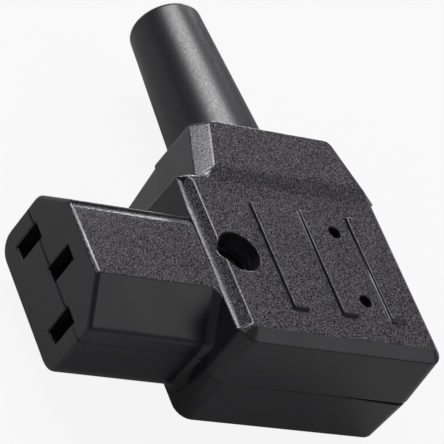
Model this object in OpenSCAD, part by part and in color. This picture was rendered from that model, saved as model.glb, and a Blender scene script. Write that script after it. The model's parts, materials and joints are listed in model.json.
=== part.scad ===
// Right-angle rewirable appliance connector: two screwed shells around three
// sprung contacts, a cord grip and a bend-relief sleeve. The nose points to -X,
// the cord leaves to +Y and the ribbed cover faces +Z.

/* [Nose] */
// Length of the nose from the mating face to the side of the body
nose_len = 19.1; // [17:0.1:24]
// Width of the nose across the line and neutral slots
nose_w = 22.4; // [21.6:0.1:26]
// Thickness of the nose
nose_t = 15.4; // [14.6:0.1:16.2]
// Size of the 45 degree corner on the cover side that keys the nose
nose_key = 5.2; // [4:0.1:5.6]
// Radius of the two unkeyed corners of the nose
nose_corner_r = 2.8; // [0.8:0.1:3.6]
// Bevel round the mating face
tip_bevel = 0.4; // [0.2:0.1:0.8]
// Radius of the fillet between the open side of the nose and the body
root_r = 1.2; // [0.6:0.1:1.8]
// Thickness of the mating face
face_wall = 1.8; // [1.2:0.1:3]

/* [Slots and contacts] */
// Distance between the line and neutral pins
pin_pitch = 14; // [13:0.1:15]
// Offset of the earth pin from the line and neutral pins
earth_step = 4; // [3:0.1:5]
// Width of a pin slot
slot_w = 2.5; // [2.2:0.1:3]
// Length of a pin slot
slot_l = 5.0; // [4.6:0.1:5.4]
// Thickness of the contact strip
strip_t = 0.5; // [0.4:0.05:0.7]
// Outer width of a contact across its two leaves
contact_w = 3.4; // [3.2:0.1:3.8]
// Length of the contact leaves
leaf_l = 13.4; // [10:0.1:14.5]
// Gap between the leaves where they grip the pin
pinch_gap = 1.6; // [1.2:0.1:1.9]
// Width of the tail that runs from a contact to its terminal
tail_w = 2.4; // [1.8:0.1:3]

/* [Body] */
// Length of the body along X
body_l = 34.95; // [33:0.1:42]
// Distance from the nose axis to the far side wall
body_front = 15.3; // [14.6:0.1:20]
// Distance from the nose axis to the shoulder on the cord side
body_rear = 13.1; // [12.6:0.1:16]
// Half thickness of the body at its flat covers
body_half = 9.35; // [9:0.05:11]
// Side wall of the body
wall = 2.2; // [1.6:0.1:2.6]
// Thickness of the flat covers
roof = 2.0; // [1.5:0.1:2.6]
// Draft of the side walls, from the parting plane to the rim
draft = 0.35; // [0.1:0.05:0.6]
// Width of the sloping rim round the cover
rim_w = 1.6; // [1:0.1:2]
// Height of the sloping rim
rim_h = 1.18; // [0.8:0.02:1.4]
// Corner radius of the body in plan
corner_r = 2.4; // [1.8:0.1:4]
// Radius of the rounded edge along the shoulder
shoulder_r = 1.2; // [0.8:0.05:1.6]
// Depth of the gap that opens between the shells at the far corner
shell_gap = 0.6; // [0.2:0.05:0.9]

/* [Collar] */
// Half thickness of the raised collar round the cord exit
collar_half = 10.2; // [10:0.05:12]
// Length of the collar past the shoulder
collar_l = 10.1; // [9.4:0.1:12]
// Width of the collar at the shoulder
collar_w = 31.6; // [29:0.1:31.7]
// Taper of each side of the collar in plan
collar_taper = 2.9; // [1:0.1:4]
// Width of the bevel along the collar sides
collar_bevel_w = 2.4; // [1.5:0.05:3]
// Height of the bevel along the collar sides
collar_bevel_h = 1.7; // [1:0.05:2]
// Length of the slope from the cover up to the collar
collar_step = 0.9; // [0.4:0.05:1.4]

/* [Cover ribs] */
// Number of grip ribs on the cover
rib_count = 3; // [2:1:3]
// Distance from one rib to the next
rib_pitch = 8.35; // [6:0.05:8.6]
// Distance from the mating face to the first rib
rib_x = 29.1; // [28.6:0.1:30]
// Width of a rib
rib_w = 2.6; // [1.5:0.1:3]
// Length of a rib
rib_l = 18.3; // [12:0.1:20]
// Height of a rib
rib_h = 0.55; // [0.2:0.05:0.8]

/* [Cover screw] */
// Distance from the mating face to the cover screw
screw_x = 23.9; // [23.7:0.1:24.6]
// Sideways offset of the cover screw from the nose axis
screw_y = -0.5; // [-0.8:0.1:0.2]
// Radius of the counterbore
counterbore_r = 3.2; // [3:0.05:3.4]
// Radius of the screw shank
screw_r = 1.5; // [1.25:0.05:1.6]
// Length of the cover screw under its head
screw_l = 12; // [11:0.5:13]
// Radius of the screw head
screw_head_r = 2.85; // [2.6:0.05:2.95]
// Height of the screw head
screw_head_h = 2.0; // [1.6:0.1:2.4]
// Depth of the top of the screw head below the cover
screw_sink = 3.05; // [2:0.05:3.6]
// Width of the nut across its flats
nut_af = 5.5; // [5:0.1:6]
// Thickness of the nut
nut_t = 2.4; // [2:0.1:3]
// Depth of the nut pocket in the rear shell
nut_pocket = 4.15; // [3.6:0.05:4.4]

/* [Locating pegs] */
// Distance between the two peg holes
peg_pitch = 12; // [10:0.1:14]
// Radius of a peg hole
peg_hole_r = 1.0; // [0.8:0.05:1.2]
// Height of a peg above the parting plane
peg_h = 5; // [3:0.1:6]

/* [Terminals] */
// Length of a terminal cage
cage_l = 5.5; // [5:0.1:6]
// Outer width of a terminal cage
cage_w = 6.2; // [5.8:0.1:6.6]
// Height inside a terminal cage
cage_in_h = 4.2; // [3.6:0.1:4.8]
// Wall of a terminal cage
cage_wall = 1.0; // [0.8:0.1:1.2]
// Top wall of a terminal cage, which carries the thread
cage_top = 1.6; // [1.2:0.1:2]
// Thickness of the clamp plate under a terminal screw
plate_t = 0.8; // [0.6:0.1:1]
// Length of a terminal screw under its head
terminal_screw_l = 6; // [5.5:0.1:7]

/* [Cord grip] */
// Diameter of the cord that the grip is made for
cord_d = 8; // [6:0.1:8.2]
// Width of the grip bar along the cord
grip_w = 4.4; // [3.5:0.1:4.8]
// Distance between the two grip screws
grip_pitch = 15.2; // [14.6:0.1:15.8]
// Thickness of the ends of the grip bar
grip_end_t = 3.2; // [2.4:0.1:3.6]
// Thickness of the web between the grip and the flange of the sleeve
web_t = 1.3; // [1:0.1:1.6]

/* [Bend-relief sleeve] */
// Distance from the mating face to the axis of the cord
sleeve_x = 38.1; // [37.5:0.1:38.2]
// Length of the sleeve outside the collar
sleeve_l = 28.5; // [18:0.5:40]
// Outer radius of the sleeve at the collar
sleeve_r = 6.85; // [6.2:0.05:7.2]
// Outer radius of the sleeve at its end
sleeve_end_r = 5.4; // [5:0.05:6]
// Radius of the bore for the cord
sleeve_bore_r = 4.1; // [3.4:0.05:4.3]
// Radius of the flange inside the collar
flange_r = 8.7; // [8:0.05:8.8]
// Thickness of the flange
flange_t = 2.4; // [2:0.1:2.8]
// Thickness of the end wall of the collar, which holds the flange in
lip_t = 2.3; // [1.8:0.1:2.8]

/* [Hidden] */
$fn = 48;
rear_corner_r = 0.6;     // corners of the shoulder, where it runs into the collar
collar_corner_r = 1.2;
key_side_r = 1.8;        // corners of the nose key: on its sides, and on its long face
key_face_r = 0.6;
foot_bury = 0.1;         // how far the foot of the collar starts inside the body
foot_flare = 0.3;        // how much wider the step up to the collar is at its foot
collar_draft = 0.15;     // how far the sides of the collar lean in, up to its bevel
collar_fall = 0.5;       // how far the end face of the collar leans in over its bevel
root_steps = 3;
eps = 0.01;          // thickness of the slabs that a hull joins
over = 1;            // how far a cut runs past the face that it opens
fit = 0.1;           // clearance between a piece and the pocket that holds it
thread_fit = 0.05;   // clearance between a screw and its thread

// Outline of the body at the parting plane
body_x0 = nose_len;
body_x1 = nose_len + body_l;
collar_y1 = body_rear + collar_l;
sleeve_y1 = collar_y1 + sleeve_l;

// The part stands on the back of the collar, with its box centred on the origin
mid_x = body_x1 / 2;
mid_y = (sleeve_y1 - body_front) / 2;

// Inside of the body
in_half = body_half - roof;
in_x0 = body_x0 + wall;
in_x1 = body_x1 - wall;
in_y0 = -body_front + wall;
in_y1 = body_rear - wall;

// Contacts: [y, z of the middle of the slot, height of the strip under the pin]
line_y = pin_pitch / 2;
line_z = -earth_step / 2;
earth_z = earth_step / 2;
contact_h = slot_l;
pin_rest = 0.2;          // how far the middle of the pin slot stands above the middle of the leaves
base_drop = contact_h / 2 + pin_rest;
line_base = line_z - base_drop;
earth_base = earth_z - base_drop;
contact_x0 = face_wall + 0.3;
contact_x1 = contact_x0 + leaf_l;
leaf_root_l = 3;         // straight root of each leaf, and length of the base strip under it
leaf_mouth_in = 0.1;     // how far the mouth of a leaf stands in from its root
pinch_in = 2.2;          // from the mouth of a leaf to where it grips the pin
tail_past = 0.4;         // how far the end of a tail stands out of its cage
boss_gap = 0.4;          // between the earth strip and the screw boss
lead_in = 1;             // overlap of the earth strip with the base of its leaves
lead_out = 0.4;          // how far its inner side runs on before it turns
bend_in = 1.2;           // how far its bends stand in from the edges of the boss and of the step
bend_run = 1.6;          // length of its slanted end before the step
bend_side = 0.6;         // shift between the two sides of that slant
bend_thin = 0.5;         // narrowing of the strip beside the boss
step_run = 0.9;          // length over which it steps down, on its lower side
step_top = 1.25;         // the same on its upper side
step_lap = 0.4;          // how far its upper side runs on before the step
chamber_side = 0.45;

// Terminals
cage_z = line_base - cage_wall;
cage_h = cage_wall + cage_in_h + cage_top;
boss_wall = 1.2;
seat_rim = 0.8;          // how far a seat reaches past the piece on it
barrier_t = 0.8;
barrier_gap = 0.6;
saddle_drop = 1;         // how far the top of the cord saddle stands below the parting plane
boss_r = counterbore_r + boss_wall;
rear_boss_r = nut_af / 2 + boss_wall;
cage_clear = 1.7;        // room between the screw boss and the line and neutral cages
earth_back = 4;          // how far the earth cage stands behind the other two
cage_spread = 0.4;       // how far the cages stand out from their contacts
line_cage_x = screw_x + boss_r + cage_clear;
earth_cage_x = line_cage_x + earth_back;
line_cage_y = line_y + cage_spread;
terminal_head_r = 2.2;
terminal_head_h = 1.5;
terminal_slot_w = 0.8;

// Locating pegs stand between the second and the third rib
peg_x = rib_x + 2 * rib_pitch - (rib_pitch - rib_w) / 2;
peg_y0 = screw_y + 0.2;
peg_wall = 1.2;          // wall of the boss round a peg hole
peg_boss_r = peg_hole_r + peg_wall;

// Grip and sleeve seat, from the rear face of the collar inwards
flange_y1 = collar_y1 - lip_t;
flange_y0 = flange_y1 - flange_t;
web_y0 = flange_y0 - web_t;
grip_gap = 0.4;
grip_y1 = web_y0 - grip_gap;
grip_y0 = grip_y1 - grip_w;
grip_mid = (grip_y0 + grip_y1) / 2;
grip_seat = -0.4;
grip_post_r = 2.3;
grip_arch = 1.6;
grip_head_r = 2.4;
grip_head_h = 1.8;
grip_screw_l = 9.4;
tip_room = 0.4;          // room under the tip of a grip screw
bay_w = grip_pitch + 2 * (grip_post_r + 0.8);
rib_mid_y = -0.45;

// ---------------------------------------------------------------- helpers

module place() translate([-mid_x, -mid_y, collar_half]) children();

// Unit vector along v
function unit(v) = v / norm(v);

// Corner radius of a hexagon, from its size across flats
function hex_r(flats) = flats / 2 / cos(30);

// Points of the arc that rounds corner p, between the points before and after it
function corner_arc(before, p, after, r, steps) =
    let (u = unit(before - p), v = unit(after - p), half = acos(u * v) / 2,
         c = p + unit(u + v) * r / sin(half),
         start = p + u * r / tan(half) - c, stop = p + v * r / tan(half) - c,
         a0 = atan2(start.y, start.x),
         turn = (atan2(stop.y, stop.x) - a0 + 540) % 360 - 180)
    [for (i = [0 : steps]) c + r * [cos(a0 + turn * i / steps), sin(a0 + turn * i / steps)]];

// Outline with each corner rounded to its own radius, or left sharp where that is 0
function rounded(points, radii, steps = 6) =
    let (n = len(points))
    [for (i = [0 : n - 1]) each radii[i] == 0 ? [points[i]] :
        corner_arc(points[(i + n - 1) % n], points[i], points[(i + 1) % n], radii[i], steps)];

// Box given by its lowest and highest corners
module box(low, high) translate(low) cube(high - low);

// Extrudes a profile drawn in Y and Z along X, from x0 to x1
module along_x(x0, x1) translate([x0, 0, 0]) rotate([90, 0, 90]) linear_extrude(x1 - x0) children();

// Extrudes a profile drawn in X and Z along Y, from y0 to y1
module along_y(y0, y1) translate([0, y1, 0]) rotate([90, 0, 0]) linear_extrude(y1 - y0) children();

// Cylinder along Y
module rod_y(y0, y1, r) translate([0, y0, 0]) rotate([-90, 0, 0]) cylinder(r = r, h = y1 - y0);

// Solid between two corners in plan and one height range
module slab(points, radii, z) translate([0, 0, z]) linear_extrude(eps) polygon(rounded(points, radii));

// ---------------------------------------------------------------- outer form

// One level of the body: in_side is how far its sides stand in, in_rear its shoulder, r its front corners.
// The shoulder has no bevel at the far end, where the collar stands over it.
module body_level(z, in_side, in_rear, r) {
    x0 = body_x0 + in_side;
    x1 = body_x1 - in_side;
    y0 = -body_front + in_side;
    y1 = body_rear - in_rear;
    slab([[x0, y0], [x1, y0], [x1, body_rear], [x0, y1]], [r, r, rear_corner_r, rear_corner_r], z);
}

// Half of the body, from the parting plane up to the flat cover
module body_half_form() hull() {
    body_level(0, 0, 0, corner_r);
    body_level(body_half - rim_h, draft, 0, corner_r);
    // the shoulder is rounded where the other sides slope, so the level half way round it has its own inset
    round_h = shoulder_r * (1 - sqrt(0.5));
    body_level(body_half - round_h, draft + rim_w * (1 - round_h / rim_h), round_h, corner_r - rim_w / 2);
    body_level(body_half - eps, draft + rim_w, shoulder_r, max(corner_r - rim_w, eps));
}

// One level of the collar: half width at the shoulder, and where it starts and ends. The sides keep to
// one taper, wherever the level starts.
module collar_level(z, half_w, y0, y1) {
    w0 = half_w - collar_taper / collar_l * (y0 - body_rear);
    w1 = half_w - collar_taper / collar_l * (y1 - body_rear);
    slab([[sleeve_x - w0, y0], [sleeve_x + w0, y0], [sleeve_x + w1, y1], [sleeve_x - w1, y1]],
         [0, 0, collar_corner_r, collar_corner_r], z);
}

// Half of the collar; inset and lean pull its sides in below the parting plane. Its top steps up from the
// level of the cover, which runs on to its foot behind the rounded shoulder.
module collar_form(inset, lean) {
    half_w = collar_w / 2 - inset;
    top_w = half_w - lean - collar_bevel_w;
    foot_y = body_rear - foot_bury;
    y1 = collar_y1 - inset;
    hull() {
        collar_level(0, half_w, foot_y, y1);
        collar_level(collar_half - collar_bevel_h, half_w - lean, foot_y, y1 - lean);
        collar_level(body_half - eps, top_w + foot_flare, foot_y, foot_y + foot_bury);
        collar_level(collar_half - eps, top_w, body_rear + collar_step, y1 - lean - collar_fall);
    }
    box([sleeve_x - top_w - foot_flare, body_rear - shoulder_r - foot_bury, collar_half / 2],
        [sleeve_x + top_w, body_rear, body_half]);
}

// Depth of a key whose two faces stand in by side and face
function key_depth(side, face) = nose_key - side - face + sqrt(2) * side;

// Outline of the cover half of the nose, which has the keyed corners; near, far and face are how far its
// -Y side, +Y side and long face stand in, or out if negative
function nose_front_outline(near, far, face) =
    let (n = nose_w / 2 - near, f = nose_w / 2 - far, t = nose_t / 2 - face,
         kn = key_depth(near, face), kf = key_depth(far, face))
    rounded([[-n, 0], [f, 0], [f, t - kf], [f - kf, t], [kn - n, t], [-n, t - kn]],
            [0, 0, key_side_r, key_face_r, key_face_r, key_side_r]);

// Outline of the back half of the nose, which has the round corners
function nose_rear_outline(near, far, face) =
    let (n = nose_w / 2 - near, f = nose_w / 2 - far, t = nose_t / 2 - face)
    rounded([[-n, 0], [-n, -t], [f, -t], [f, 0]], [0, nose_corner_r, nose_corner_r, 0]);

module nose_slice(front, x0, x1, near, far, face)
    along_x(x0, x1) polygon(front ? nose_front_outline(near, far, face) : nose_rear_outline(near, far, face));

// Half of the nose: bevelled tip, straight length, and the fillet by which its open side joins the body
module nose_form(front) {
    hull() {
        nose_slice(front, 0, eps, tip_bevel, tip_bevel, tip_bevel);
        nose_slice(front, tip_bevel, tip_bevel + eps, 0, 0, 0);
    }
    nose_slice(front, tip_bevel, nose_len + 1, 0, 0, 0);
    for (i = [0 : root_steps - 1]) hull() for (a = [i, i + 1] * 90 / root_steps) {
        x = body_x0 + draft / 2 - root_r * (1 - sin(a));
        nose_slice(front, x, x + eps, -root_r * (1 - cos(a)), 0, 0);
    }
}

// ---------------------------------------------------------------- cuts

// Chamber of one contact, from the mating face into the body
module chamber(y, base) {
    half = contact_w / 2 + chamber_side;
    box([face_wall, y - half, base], [in_x0 + over, y + half, base + contact_h + fit]);
}

// Slot in the mating face
module slot(y, z) box([-over, y - slot_w / 2, z - slot_l / 2], [face_wall + eps, y + slot_w / 2, z + slot_l / 2]);

// All that the two shells leave open for the contacts
module contact_space() {
    for (side = [-1, 1]) {
        chamber(side * line_y, line_base);
        slot(side * line_y, line_z);
    }
    chamber(0, earth_base);
    slot(0, earth_z);
    // the earth tail steps sideways round the screw boss
    box([contact_x1, -contact_w / 2 - chamber_side, earth_base], [in_x0 + over, line_y, earth_base + strip_t + fit]);
}

// Room for the terminals, and the narrower bay of the cord grip
module wiring_space() {
    translate([0, 0, -in_half]) linear_extrude(2 * in_half)
        polygon(rounded([[in_x0, in_y0], [in_x1, in_y0], [in_x1, in_y1], [sleeve_x + bay_w / 2, in_y1],
                         [sleeve_x + bay_w / 2, web_y0], [sleeve_x - bay_w / 2, web_y0],
                         [sleeve_x - bay_w / 2, in_y1], [in_x0, in_y1]],
                        [1, 1, 1, 0.3, 0.8, 0.8, 0.3, 1], 4));
}

// Seat of the sleeve: cord hole in the web, flange groove and neck
module sleeve_seat() translate([sleeve_x, 0, 0]) {
    rod_y(web_y0 - over, flange_y0 + eps, cord_d / 2 + 1);
    rod_y(flange_y0, flange_y1, flange_r + fit);
    rod_y(flange_y0, collar_y1 + over, sleeve_r + fit);
}

// ---------------------------------------------------------------- shells

module rib(x) {
    y0 = rib_mid_y - rib_l / 2;
    y1 = rib_mid_y + rib_l / 2;
    slope = rib_h / 2;
    translate([x, 0, 0]) along_x(0, rib_w)
        polygon([[y0, body_half - 0.5], [y1, body_half - 0.5], [y1, body_half], [y1 - slope, body_half + rib_h],
                 [y0 + slope, body_half + rib_h], [y0, body_half]]);
}

module front_shell() color("#26262a") place() difference() {
    union() {
        difference() {
            union() {
                body_half_form();
                collar_form(0, collar_draft);
                nose_form(true);
            }
            wiring_space();
        }
        for (i = [0 : rib_count - 1]) rib(rib_x + i * rib_pitch);
        translate([screw_x, screw_y, 0]) cylinder(r = boss_r, h = body_half - rim_h);
        for (side = [-1, 1])
            translate([peg_x, peg_y0 + side * peg_pitch / 2, 0])
                cylinder(r = peg_boss_r, h = body_half - roof / 2);
    }
    contact_space();
    sleeve_seat();
    translate([screw_x, screw_y, 0]) {
        translate([0, 0, -over]) cylinder(r = screw_r + 2 * fit, h = body_half);
        translate([0, 0, body_half - screw_sink - screw_head_h]) cylinder(r = screw_head_r + fit, h = body_half);
        translate([0, 0, body_half - screw_sink + fit]) cylinder(r = counterbore_r, h = body_half);
    }
    for (side = [-1, 1])
        translate([peg_x, peg_y0 + side * peg_pitch / 2, -over])
            cylinder(r = peg_hole_r, h = body_half + 2 * over);
}

// The shells part slightly towards the far corner: a wedge cut from the outer edge of the rear rim
module far_corner_gap() difference() {
    along_y(-body_front - over, collar_y1 + over)
        polygon([[body_x0 + body_l * 0.4, over], [body_x1 + over, over], [body_x1 + over, -shell_gap],
                 [body_x0 + body_l * 0.4, 0]]);
    box([body_x0, -body_front + wall / 2, -body_half], [body_x1 - wall / 2, collar_y1 + 2 * over, body_half]);
}

// Seats, barriers and posts that stand on the floor of the rear shell
module rear_shell_inside() {
    floor_z = -body_half + roof / 2;
    barrier_y = line_cage_y - cage_w / 2 - barrier_gap;
    for (side = [-1, 1]) {
        box([line_cage_x - seat_rim, side * line_cage_y - cage_w / 2, floor_z],
            [line_cage_x + cage_l + seat_rim, side * line_cage_y + cage_w / 2, cage_z]);
        box([line_cage_x - seat_rim, side * barrier_y - barrier_t / 2, floor_z],
            [earth_cage_x + cage_l + seat_rim, side * barrier_y + barrier_t / 2, line_z]);
        translate([peg_x, peg_y0 + side * peg_pitch / 2, floor_z]) {
            cylinder(r = peg_boss_r, h = -floor_z);
            cylinder(r = peg_hole_r - fit, h = peg_h - floor_z);
        }
        translate([sleeve_x + side * grip_pitch / 2, grip_mid, floor_z])
            cylinder(r = grip_post_r, h = grip_seat - floor_z);
    }
    box([earth_cage_x - seat_rim, -cage_w / 2, floor_z], [earth_cage_x + cage_l + seat_rim, cage_w / 2, cage_z]);
    box([sleeve_x - cord_d / 2 - seat_rim, grip_y0, floor_z],
        [sleeve_x + cord_d / 2 + seat_rim, grip_y1, -saddle_drop]);
    translate([screw_x, screw_y, floor_z]) cylinder(r = rear_boss_r, h = -floor_z);
}

module rear_shell() color("#222226") place() difference() {
    union() {
        difference() {
            union() {
                mirror([0, 0, 1]) {
                    body_half_form();
                    collar_form(0.25, 0.45);
                }
                nose_form(false);
            }
            wiring_space();
        }
        rear_shell_inside();
    }
    contact_space();
    sleeve_seat();
    far_corner_gap();
    translate([sleeve_x, 0, 0]) rod_y(grip_y0 - over, grip_y1 + over, cord_d / 2);
    translate([screw_x, screw_y, 0]) {
        translate([0, 0, -body_half]) cylinder(r = screw_r + 2 * fit, h = body_half + over);
        translate([0, 0, -body_half - over])
            cylinder(r = hex_r(nut_af + 2 * fit), h = nut_pocket + over, $fn = 6);
    }
    for (side = [-1, 1])
        translate([sleeve_x + side * grip_pitch / 2, grip_mid, grip_seat + grip_end_t - grip_screw_l - tip_room])
            cylinder(r = screw_r + thread_fit, h = grip_screw_l);
}

// ---------------------------------------------------------------- sleeve

module bend_relief_sleeve() color("#1d1d20") place() translate([sleeve_x, 0, 0]) rotate([-90, 0, 0]) {
    round_r = 0.9;
    rotate_extrude($fn = 96) polygon(concat(
        [[sleeve_bore_r, flange_y0], [flange_r, flange_y0], [flange_r, flange_y1], [sleeve_r, flange_y1],
         [sleeve_r, collar_y1]],
        [for (a = [0 : 15 : 90]) [sleeve_end_r - round_r + round_r * cos(a), sleeve_y1 - round_r + round_r * sin(a)]],
        [[sleeve_bore_r, sleeve_y1]]));
}

// ---------------------------------------------------------------- fasteners

// Pan head with a flat top: radius and height, standing on z = 0
module pan_head(r, h) rotate_extrude()
    polygon(concat([[0, 0], [r, 0]],
                   [for (a = [0 : 15 : 75]) [r - h * 0.7 * (1 - cos(a)), h * 0.3 + h * 0.7 * sin(a)]],
                   [[r - h * 0.7, h], [0, h]]));

// Screw with a cross recess, its head standing on z = 0 and its shank below
module cross_screw(r, l, head_r, head_h) difference() {
    union() {
        pan_head(head_r, head_h);
        translate([0, 0, -l]) cylinder(r = r, h = l + eps);
    }
    for (a = [0, 90]) rotate(a)
        translate([-head_r * 0.6, -head_r * 0.14, head_h * 0.4]) cube([head_r * 1.2, head_r * 0.28, head_h]);
}

module cover_screw() color("silver") place()
    translate([screw_x, screw_y, body_half - screw_sink - screw_head_h])
        rotate(20) cross_screw(screw_r, screw_l, screw_head_r, screw_head_h);

module cover_nut() color("silver") place()
    translate([screw_x, screw_y, nut_pocket - body_half - nut_t]) difference() {
        cylinder(r = hex_r(nut_af), h = nut_t, $fn = 6);
        translate([0, 0, -over]) cylinder(r = screw_r + thread_fit, h = nut_t + 2 * over);
    }

// ---------------------------------------------------------------- contacts

// Plan outline of one sprung leaf, from its root to the flared mouth
function leaf_outline() =
    let (root = contact_w / 2, pinch = pinch_gap / 2, mouth = root - leaf_mouth_in,
         x1 = contact_x1, x0 = contact_x0, bend_x = x1 - leaf_root_l, pinch_x = x0 + pinch_in)
    [[x1, root], [bend_x, root], [pinch_x, pinch + strip_t], [x0, mouth],
     [x0, mouth - strip_t], [pinch_x, pinch], [bend_x, root - strip_t], [x1, root - strip_t]];

// Folded contact: a base strip with two leaves standing on its edges
module contact_box(y, base) translate([0, y, base]) {
    for (side = [0, 1]) mirror([0, side, 0]) linear_extrude(contact_h) polygon(leaf_outline());
    box([contact_x1 - leaf_root_l, -contact_w / 2, 0], [contact_x1, contact_w / 2, strip_t]);
}

// Line and neutral contacts run straight back to their terminals
module straight_contact(side) contact_tail_to(side * line_y, line_base, side);

module contact_tail_to(y, base, side) {
    contact_box(y, base);
    box([contact_x1 - eps, y - tail_w / 2, base],
        [line_cage_x + cage_l + tail_past, y + tail_w / 2, base + strip_t]);
}

module line_contact() color("#c8a656") place() straight_contact(1);
module neutral_contact() color("#c8a656") place() straight_contact(-1);

// The earth strip passes beside the screw boss, then steps down to its terminal
module earth_contact() color("#c8a656") place() {
    pass_y = screw_y + boss_r + boss_gap;
    turn_x = screw_x + boss_r - bend_in;
    down_x = line_cage_x + bend_in;
    end_x = earth_cage_x + cage_l + tail_past;
    contact_box(0, earth_base);
    translate([0, 0, earth_base]) linear_extrude(strip_t) polygon([
        [contact_x1 - lead_in, -tail_w / 2], [contact_x1 + lead_in, -tail_w / 2], [screw_x - boss_r, pass_y],
        [turn_x, pass_y], [down_x - bend_run, -tail_w / 2], [down_x, -tail_w / 2], [down_x, tail_w / 2],
        [down_x - bend_side, tail_w / 2], [turn_x + bend_side, pass_y + tail_w - bend_thin],
        [screw_x - boss_r - bend_in, pass_y + tail_w - bend_thin],
        [contact_x1 + lead_out, tail_w / 2], [contact_x1 - lead_in, tail_w / 2]]);
    along_y(-tail_w / 2, tail_w / 2) polygon([
        [down_x - eps, earth_base], [down_x + step_run, line_base], [end_x, line_base],
        [end_x, line_base + strip_t], [down_x + step_top, line_base + strip_t],
        [down_x + step_lap, earth_base + strip_t], [down_x - eps, earth_base + strip_t]]);
}

// ---------------------------------------------------------------- terminals

// Cage: a folded brass frame with a tapped hole in its top
module cage(x, y) translate([x, y, cage_z]) difference() {
    translate([0, -cage_w / 2, 0]) cube([cage_l, cage_w, cage_h]);
    translate([-over, cage_wall - cage_w / 2, cage_wall])
        cube([cage_l + 2 * over, cage_w - 2 * cage_wall, cage_in_h]);
    translate([cage_l / 2, 0, cage_h - cage_top - over])
        cylinder(r = screw_r + thread_fit, h = cage_top + 2 * over);
}

// Clamp plate that spreads the load of the screw, resting on the contact tail
module clamp_plate(x, y) {
    half = cage_w / 2 - cage_wall - fit;
    box([x + 0.3, y - half, line_base + strip_t], [x + cage_l - 0.3, y + half, line_base + strip_t + plate_t]);
}

// Cheese-head terminal screw, its tip on the clamp plate
module terminal_screw(x, y) translate([x + cage_l / 2, y, line_base + strip_t + plate_t]) difference() {
    union() {
        cylinder(r = screw_r, h = terminal_screw_l + eps);
        translate([0, 0, terminal_screw_l]) cylinder(r = terminal_head_r, h = terminal_head_h);
    }
    translate([-terminal_head_r - over, -terminal_slot_w / 2, terminal_screw_l + terminal_head_h / 2])
        cube([2 * (terminal_head_r + over), terminal_slot_w, terminal_head_h]);
}

module line_terminal_cage() color("#b9913c") place() cage(line_cage_x, line_cage_y);
module neutral_terminal_cage() color("#b9913c") place() cage(line_cage_x, -line_cage_y);
module earth_terminal_cage() color("#b9913c") place() cage(earth_cage_x, 0);

module line_clamp_plate() color("#d3b46a") place() clamp_plate(line_cage_x, line_cage_y);
module neutral_clamp_plate() color("#d3b46a") place() clamp_plate(line_cage_x, -line_cage_y);
module earth_clamp_plate() color("#d3b46a") place() clamp_plate(earth_cage_x, 0);

module line_terminal_screw() color("silver") place() terminal_screw(line_cage_x, line_cage_y);
module neutral_terminal_screw() color("silver") place() terminal_screw(line_cage_x, -line_cage_y);
module earth_terminal_screw() color("silver") place() terminal_screw(earth_cage_x, 0);

// ---------------------------------------------------------------- cord grip

// Bridge over the cord, screwed down on two posts
module cord_grip_bar() color("#35353a") place() difference() {
    half = grip_pitch / 2 + grip_post_r;
    crown_w = grip_pitch / 2 - grip_head_r - 2 * fit;
    crown_h = cord_d / 2 + grip_arch;
    translate([sleeve_x, 0, 0]) along_y(grip_y0, grip_y1) polygon(rounded(
        [[-half, grip_seat], [half, grip_seat], [half, grip_seat + grip_end_t], [crown_w, grip_seat + grip_end_t],
         [crown_w - 1.2, crown_h], [1.2 - crown_w, crown_h], [-crown_w, grip_seat + grip_end_t],
         [-half, grip_seat + grip_end_t]],
        [0.2, 0.2, 0.6, 0.3, 0.8, 0.8, 0.3, 0.6], 4));
    translate([sleeve_x, 0, 0]) rod_y(grip_y0 - over, grip_y1 + over, cord_d / 2);
    for (side = [-1, 1]) translate([sleeve_x + side * grip_pitch / 2, grip_mid, grip_seat - over])
        cylinder(r = screw_r + 2 * fit, h = grip_end_t + 2 * over);
}

module grip_screw(side) translate([sleeve_x + side * grip_pitch / 2, grip_mid, grip_seat + grip_end_t])
    cross_screw(screw_r, grip_screw_l, grip_head_r, grip_head_h);

module cord_grip_screw_near() color("silver") place() grip_screw(-1);
module cord_grip_screw_far() color("silver") place() grip_screw(1);

// ---------------------------------------------------------------- nodes

front_shell();
rear_shell();
bend_relief_sleeve();
cover_screw();
cover_nut();
line_contact();
neutral_contact();
earth_contact();
line_terminal_cage();
neutral_terminal_cage();
earth_terminal_cage();
line_terminal_screw();
neutral_terminal_screw();
earth_terminal_screw();
line_clamp_plate();
neutral_clamp_plate();
earth_clamp_plate();
cord_grip_bar();
cord_grip_screw_near();
cord_grip_screw_far();
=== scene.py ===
# %% [markdown]
# # A right-angle appliance connector, in cells
# The connector is two black mouldings screwed together over brass contacts, with a soft sleeve for the
# cord. The measured model is loaded first and nothing in it moves. Pieces that need a finer skin than the
# measured one, such as mouldings with softened edges, are made here and stand in its place.

# %% Load the measured model
import json
import math
import bpy
import bmesh
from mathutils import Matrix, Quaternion, Vector
from mathutils.bvhtree import BVHTree

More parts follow.
